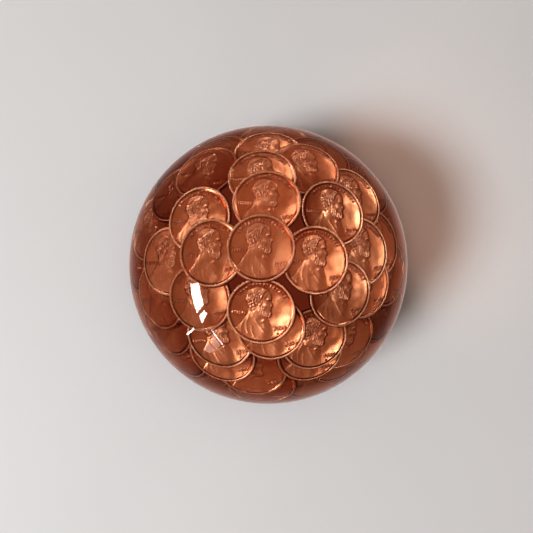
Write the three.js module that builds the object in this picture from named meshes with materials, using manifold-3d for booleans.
// Domed coin paperweight: small copper-coloured coins laid like fish scales under a clear cast hemisphere.
// It is cast upside down in a polished bowl. The face pour sets first as a clear shell. The coins are
// laid face down on it from the middle outwards, so every coin lies behind the ones laid before it.
// The back pour then fills the bowl around and behind the coins, down to the flat foot.
// Millimetres, +Z up, origin at the centre of the foot.
import * as THREE from "three";
import { mergeVertices } from "three/addons/utils/BufferGeometryUtils.js";
import Module from "manifold-3d";

// Driving dimensions.
const DOME_RADIUS = 44.5;
const SKIRT_HEIGHT = 1.5; // straight wall between the foot and the hemisphere
const FOOT_BEVEL = 0.6;
const FACE_COAT = 3.2; // least clear plastic over a coin's edge
const FACE_POUR = 2.8; // thickness of the shell that the first pour leaves
const COIN_RADIUS = 9.525;
const COIN_THICKNESS = 1.52;
const LAYER_GAP = 0.12; // film of plastic between two stacked coins
const POCKET_GAP = 0.3; // between a casting and what it surrounds

// Mesh fineness.
const DOME_SEGMENTS = 48;
const DOME_BANDS = 12;
const COIN_SEGMENTS = 24;
const POCKET_SEGMENTS = 10;

// Where each coin lies, in the order laid: [angle from the top, bearing from +X anticlockwise], in degrees.
const SEATS = [
  [3, 180],
  [20, 92], [20, -13], [24, -177], [26, -97],
  [33, 31], [34, 155], [33, 95], [37, -146], [37, -30], [34, -88],
  [44, 66], [50, 127], [48, -176], [43, 1], [49, 34], [46, -62], [46, -120], [50, 90],
  [55, 145], [59, -160], [65, 165], [55, -115], [53, -67], [48, -18], [54, 7],
  [66, -147], [58, -48], [61, -98], [56, 63], [58, 117],
  [64, -7], [64, 38], [71, -24], [67, -54], [64, 87],
  [72, -93], [73, 179], [72, -134], [75, -68],
  [72, 15], [72, 55], [73, 105], [72, 133], [76, 155], [77, -160], [77, -112], [76, -38], [77, -5],
  [77, 33], [77, 75], [77, 120],
];

const wasm = await Module();
wasm.setup();

// ---- Solids and meshes -------------------------------------------------------------------------

function toSolid(geometry, matrix) {
  const bare = new THREE.BufferGeometry()
    .setAttribute("position", geometry.getAttribute("position").clone())
    .setIndex(geometry.index);
  if (matrix) bare.applyMatrix4(matrix);
  const merged = mergeVertices(bare, 1e-4);
  return new wasm.Manifold(
    new wasm.Mesh({
      numProp: 3,
      vertProperties: merged.attributes.position.array,
      triVerts: new Uint32Array(merged.index.array),
    }),
  );
}

function toGeometry(solid) {
  const { vertProperties, triVerts } = solid.getMesh();
  const geometry = new THREE.BufferGeometry()
    .setAttribute("position", new THREE.BufferAttribute(vertProperties, 3))
    .setIndex(new THREE.BufferAttribute(triVerts, 1));
  geometry.computeVertexNormals();
  return geometry;
}

// The largest body of a solid: a cut can leave specks of plastic that real coins would trap between them.
function largestBody(solid) {
  return solid.decompose().reduce((a, b) => (b.volume() > a.volume() ? b : a));
}

// A solid of revolution about Z from [radius, height] points that start and end on the axis.
function revolve(points, segments) {
  const profile = points.map(([r, z]) => new THREE.Vector2(r, z));
  return new THREE.LatheGeometry(profile, segments).rotateX(Math.PI / 2);
}

// ---- Coins -------------------------------------------------------------------------------------

// A disc about the origin, with its faces square to Z.
function disc(radius, thickness, segments) {
  const half = thickness / 2;
  return revolve([[0, -half], [radius, -half], [radius, half], [0, half]], segments);
}

// The space the back pour leaves for a coin: a prism whose flats stand clear of the coin's edge.
function pocketGeometry() {
  const radius = (COIN_RADIUS + POCKET_GAP) / Math.cos(Math.PI / POCKET_SEGMENTS);
  return disc(radius, COIN_THICKNESS + 2 * POCKET_GAP, POCKET_SEGMENTS);
}

// The plane z = height + slopeX x + slopeY y that lies highest over the origin under every limit {x, y, z}.
// The best height is a concave function of the slopes, so a golden-section search over each finds it.
function highestPlane(limits) {
  const STEEPEST = 0.7;
  const STEPS = 26;
  const heightFor = (slopeX, slopeY) =>
    limits.reduce((low, { x, y, z }) => Math.min(low, z - slopeX * x - slopeY * y), Infinity);
  const climb = (value) => {
    const golden = (Math.sqrt(5) - 1) / 2;
    let [low, high] = [-STEEPEST, STEEPEST];
    let [a, b] = [high - golden * (high - low), low + golden * (high - low)];
    let [atA, atB] = [value(a), value(b)];
    for (let step = 0; step < STEPS; step++) {
      if (atA > atB) {
        [high, b, atB] = [b, a, atA];
        a = high - golden * (high - low);
        atA = value(a);
      } else {
        [low, a, atA] = [a, b, atB];
        b = low + golden * (high - low);
        atB = value(b);
      }
    }
    return (low + high) / 2;
  };
  const bestY = (slopeX) => climb((slopeY) => heightFor(slopeX, slopeY));
  const slopeX = climb((x) => heightFor(x, bestY(x)));
  const slopeY = bestY(slopeX);
  return { height: heightFor(slopeX, slopeY), slopeX, slopeY };
}

// Lays one coin against the bowl, behind the coins laid before it, and returns its outer face's
// centre and normal. The coin's centre stays on its seat's line from the dome's centre.
function layCoin([fromTop, bearing], laid) {
  const WIDEN = 0.7; // a tilted coin's side wall leans this far past its inner face
  const RINGS = [0.3, 0.55, 0.75, 0.9, 1];
  const SPOKES = 36;
  const out = new THREE.Vector3().setFromSphericalCoords(
    1,
    THREE.MathUtils.degToRad(fromTop),
    THREE.MathUtils.degToRad(bearing + 90),
  );
  out.set(out.x, -out.z, out.y);
  const along = new THREE.Vector3(-out.y, out.x, 0).normalize();
  if (along.lengthSq() < 0.5) along.set(1, 0, 0);
  const across = new THREE.Vector3().crossVectors(out, along);
  const limits = [];
  const bowl = Math.sqrt((DOME_RADIUS - FACE_COAT) ** 2 - COIN_RADIUS ** 2);
  for (const ring of RINGS) {
    for (let spoke = 0; spoke < SPOKES; spoke++) {
      const angle = (spoke / SPOKES) * 2 * Math.PI;
      const [x, y] = [ring * COIN_RADIUS * Math.cos(angle), ring * COIN_RADIUS * Math.sin(angle)];
      if (ring === 1) limits.push({ x, y, z: bowl });
      const foot = new THREE.Vector3().addScaledVector(along, x).addScaledVector(across, y);
      for (const coin of laid) {
        const lean = coin.normal.dot(out);
        if (lean < 0.2) continue;
        const inner = coin.normal.dot(coin.centre) - COIN_THICKNESS;
        const z = (inner - coin.normal.dot(foot)) / lean;
        const point = foot.clone().addScaledVector(out, z);
        const sideways = point.clone().sub(coin.centre).addScaledVector(coin.normal, COIN_THICKNESS);
        if (sideways.length() < COIN_RADIUS + WIDEN) limits.push({ x, y, z: z - LAYER_GAP / lean });
      }
    }
  }
  const plane = highestPlane(limits);
  const normal = out
    .clone()
    .addScaledVector(along, -plane.slopeX)
    .addScaledVector(across, -plane.slopeY)
    .normalize();
  return { centre: out.multiplyScalar(plane.height), normal };
}

function coinMatrix({ centre, normal }) {
  const middle = centre.clone().addScaledVector(normal, -COIN_THICKNESS / 2);
  const turn = new THREE.Quaternion().setFromUnitVectors(new THREE.Vector3(0, 0, 1), normal);
  return new THREE.Matrix4().compose(middle, turn, new THREE.Vector3(1, 1, 1));
}

const laidCoins = [];
for (const seat of SEATS) laidCoins.push(layCoin(seat, laidCoins));
const coinMatrices = laidCoins.map(coinMatrix);

// ---- Castings ----------------------------------------------------------------------------------

// A hemisphere on a short skirt, about its own centre, with a bevelled foot at the skirt's end.
function domeProfile(radius, skirt, bevel) {
  const points = [
    [0, -skirt],
    [radius - bevel, -skirt],
  ];
  if (bevel > 0) points.push([radius, -skirt + bevel]);
  for (let band = 0; band <= DOME_BANDS; band++) {
    const angle = (band / DOME_BANDS) * (Math.PI / 2);
    points.push([band === DOME_BANDS ? 0 : radius * Math.cos(angle), radius * Math.sin(angle)]);
  }
  return points;
}

const PAST_FOOT = 1; // so that the shell's hollow opens cleanly through the foot

function faceCasting() {
  const outside = toSolid(revolve(domeProfile(DOME_RADIUS, SKIRT_HEIGHT, FOOT_BEVEL), DOME_SEGMENTS));
  const hollow = toSolid(
    revolve(domeProfile(DOME_RADIUS - FACE_POUR, SKIRT_HEIGHT + PAST_FOOT, 0), DOME_SEGMENTS),
  );
  return toGeometry(outside.subtract(hollow));
}

function backCasting() {
  const pocket = pocketGeometry();
  const pockets = coinMatrices.map((matrix) => toSolid(pocket, matrix)).reduce((a, b) => a.add(b));
  const radius = DOME_RADIUS - FACE_POUR - POCKET_GAP;
  const whole = toSolid(revolve(domeProfile(radius, SKIRT_HEIGHT, 0), DOME_SEGMENTS));
  return toGeometry(largestBody(whole.subtract(pockets)));
}

// ---- Assembly ----------------------------------------------------------------------------------

const clearPlastic = new THREE.MeshStandardMaterial({
  color: 0xe8e4e2,
  roughness: 0.03,
  metalness: 0,
  transparent: true,
  opacity: 0.35,
});
const copper = new THREE.MeshStandardMaterial({ color: 0xb5653f, roughness: 0.28, metalness: 1 });

const paperweight = new THREE.Group();
const dome = new THREE.Group(); // everything is placed about the centre of the hemisphere
dome.position.z = SKIRT_HEIGHT;
paperweight.add(dome);

function addMesh(name, geometry, material) {
  const mesh = new THREE.Mesh(geometry, material);
  mesh.name = name;
  dome.add(mesh);
  return mesh;
}

addMesh("face_casting", faceCasting(), clearPlastic);
addMesh("back_casting", backCasting(), clearPlastic);
const coin = disc(COIN_RADIUS, COIN_THICKNESS, COIN_SEGMENTS);
coinMatrices.forEach((matrix, index) => {
  const mesh = addMesh(`coin_${String(index + 1).padStart(2, "0")}`, coin, copper);
  matrix.decompose(mesh.position, mesh.quaternion, mesh.scale);
});

export default paperweight;
